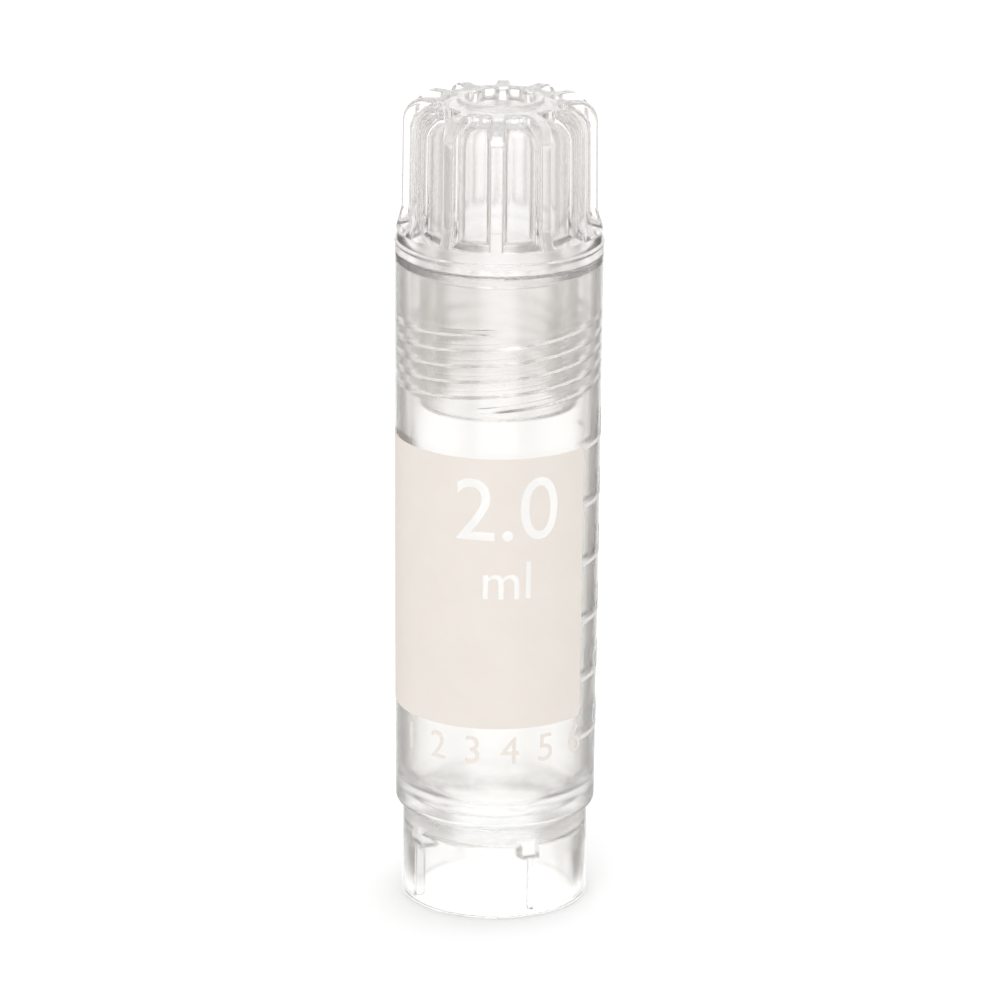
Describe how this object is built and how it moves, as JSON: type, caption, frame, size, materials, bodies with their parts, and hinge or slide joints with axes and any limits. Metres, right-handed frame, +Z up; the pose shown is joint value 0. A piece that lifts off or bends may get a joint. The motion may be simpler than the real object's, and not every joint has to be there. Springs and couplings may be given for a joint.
{
  "type": "cryovial",
  "caption": "Clear self-standing cryogenic vial with a hollow foot, dished inner floor and a ribbed cap that screws inside the neck.",
  "frame": {"origin": "centre of the foot's rim on the table", "axes": "+Z up the vial's axis to the cap, -Y towards the front of the writing panel, +X to its right"},
  "size_m": [0.0126, 0.0126, 0.0502],
  "materials": {
    "vial_plastic": "clear moulded polypropylene, glossy outside, slightly hazy",
    "cap_plastic": "clear moulded polypropylene, glossy",
    "seal_silicone": "clear silicone, polished",
    "panel_ink": "cream-white writing-panel ink, matt",
    "mark_ink": "white screen-printed ink, satin"
  },
  "bodies": {
    "vial": {"vial_body": "vial_plastic"},
    "seal": {"sealing_ring": "seal_silicone"},
    "cap": {"screw_cap": "cap_plastic"}
  },
  "joints": [
    {"name": "cap_lift", "type": "slide", "parent": "vial", "child": "seal", "axis": [0, 0, 1], "range_m": [0, 0.0145]},
    {"name": "cap_turn", "type": "hinge", "parent": "seal", "child": "cap", "pos_m": [0, 0, 0.04085], "axis": [0, 0, 1], "range_deg": [0, 1800]}
  ],
  "couplings": [
    {"joint": "cap_turn", "follows": "cap_lift", "rad_per_m": 2166.6}
  ]
}
